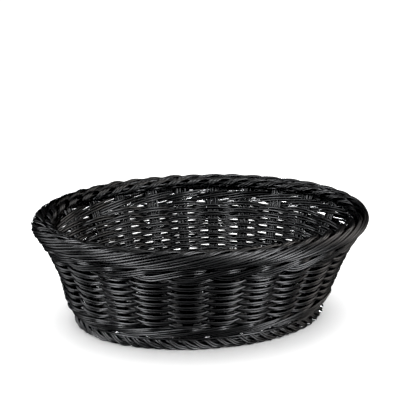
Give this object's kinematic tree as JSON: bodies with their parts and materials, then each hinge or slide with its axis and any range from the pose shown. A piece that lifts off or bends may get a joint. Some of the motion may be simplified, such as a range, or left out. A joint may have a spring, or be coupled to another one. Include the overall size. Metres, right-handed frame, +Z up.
{
  "type": "woven fruit basket",
  "caption": "Oval open basket woven from ribbed plastic cane, with outward-leaning openwork sides, a thick rolled rim and a plaited foot it stands on.",
  "frame": {"origin": "centre of the basket on the surface it stands on", "axes": "+X along the oval's length, +Y across its width, +Z up"},
  "size_m": [0.3, 0.2378, 0.0984],
  "materials": {
    "woven_cane": "satin black ribbed cane",
    "stake_cane": "satin black ribbed cane, laid side by side",
    "border_cane": "satin black ribbed cane, rolled and plaited",
    "mat_cane": "satin black ribbed cane, woven flat"
  },
  "bodies": {
    "root": {"foot_border": "border_cane", "base_mat": "mat_cane", "stake_01": "stake_cane", "stake_02": "stake_cane", "stake_03": "stake_cane", "stake_04": "stake_cane", "stake_05": "stake_cane", "stake_06": "stake_cane", "stake_07": "stake_cane", "stake_08": "stake_cane", "stake_09": "stake_cane", "stake_10": "stake_cane", "stake_11": "stake_cane", "stake_12": "stake_cane", "stake_13": "stake_cane", "stake_14": "stake_cane", "stake_15": "stake_cane", "stake_16": "stake_cane", "stake_17": "stake_cane", "stake_18": "stake_cane", "stake_19": "stake_cane", "stake_20": "stake_cane", "stake_21": "stake_cane", "stake_22": "stake_cane", "stake_23": "stake_cane", "stake_24": "stake_cane", "lower_wale_strand_01": "woven_cane", "lower_wale_strand_02": "woven_cane", "lower_wale_strand_03": "woven_cane", "lower_wale_strand_04": "woven_cane", "side_weave_strand_01": "woven_cane", "side_weave_strand_02": "woven_cane", "side_weave_strand_03": "woven_cane", "side_weave_strand_04": "woven_cane", "side_weave_strand_05": "woven_cane", "side_weave_strand_06": "woven_cane", "side_weave_strand_07": "woven_cane", "side_weave_strand_08": "woven_cane", "side_weave_strand_09": "woven_cane", "side_weave_strand_10": "woven_cane", "side_weave_strand_11": "woven_cane", "side_weave_strand_12": "woven_cane", "side_weave_strand_13": "woven_cane", "side_weave_strand_14": "woven_cane", "side_weave_strand_15": "woven_cane", "upper_wale_strand_01": "woven_cane", "upper_wale_strand_02": "woven_cane", "upper_wale_strand_03": "woven_cane", "rim_border": "border_cane"}
  },
  "joints": []
}
